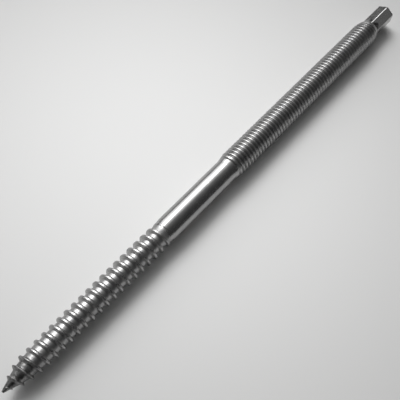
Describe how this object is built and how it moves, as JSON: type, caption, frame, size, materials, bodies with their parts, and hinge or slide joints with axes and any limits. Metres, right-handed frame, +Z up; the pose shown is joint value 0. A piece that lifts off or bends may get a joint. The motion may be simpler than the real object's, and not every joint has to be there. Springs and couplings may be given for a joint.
{
  "type": "hanger bolt",
  "caption": "Steel hanger bolt: a pointed coarse wood thread, a plain shank, a metric machine thread and a small hexagonal drive end.",
  "frame": {"origin": "on the surface that the bolt lies on, under the middle of its length", "axes": "+X along the bolt from the wood-screw point to the hexagonal drive end, +Y across it, +Z up with a corner of the hexagon"},
  "size_m": [0.165, 0.008, 0.0079],
  "materials": {
    "zinc_plated_steel": "bright zinc plating, smooth and glossy on the shank and hexagon, finely marked by the rolling dies on the threads"
  },
  "bodies": {
    "root": {"hanger_bolt": "zinc_plated_steel"}
  },
  "joints": []
}
